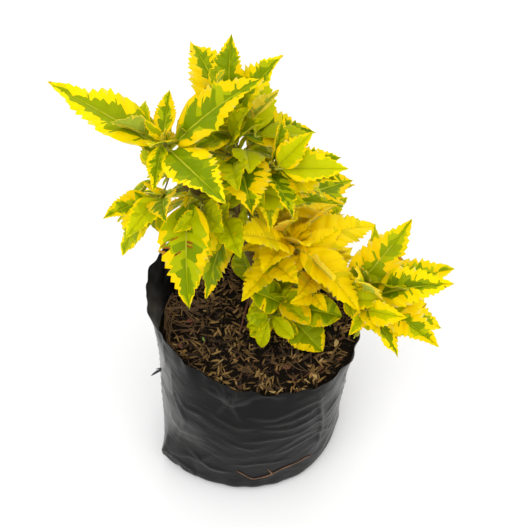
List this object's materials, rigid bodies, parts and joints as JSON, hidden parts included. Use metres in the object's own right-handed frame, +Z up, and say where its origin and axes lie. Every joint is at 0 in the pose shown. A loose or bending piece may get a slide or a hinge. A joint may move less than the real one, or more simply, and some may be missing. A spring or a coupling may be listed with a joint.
{
  "type": "potted variegated duranta shrub",
  "caption": "Small shrub with toothed green and yellow leaves in opposite pairs, in a black film nursery bag of soil.",
  "frame": {"origin": "on the bag's flat underside, on the ground, straight under the middle of its mouth", "axes": "+Z up, +X to the right in the picture, which looks along +Y and down"},
  "size_m": [0.2444, 0.2043, 0.3016],
  "materials": {
    "bag_film": "thin black polythene film, dusty, soft sheen",
    "soil": "dark potting soil with husk and wood shavings",
    "bark": "young brown-green bark",
    "leaf": "soft leaves, green in the middle and golden yellow at the margin"
  },
  "bodies": {
    "root": {"pot_bag": "bag_film", "soil": "soil", "trunk": "bark", "left_bough": "bark", "middle_bough": "bark", "right_bough": "bark", "left_foliage": "leaf", "top_foliage": "leaf", "upper_right_foliage": "leaf", "middle_foliage": "leaf", "far_right_foliage": "leaf", "lower_left_foliage": "leaf", "hanging_foliage": "leaf", "basal_left_foliage": "leaf", "basal_right_foliage": "leaf", "lower_middle_foliage": "leaf", "inner_left_foliage": "leaf", "right_foliage": "leaf", "back_left_foliage": "leaf", "back_middle_foliage": "leaf", "back_right_foliage": "leaf"}
  },
  "joints": []
}
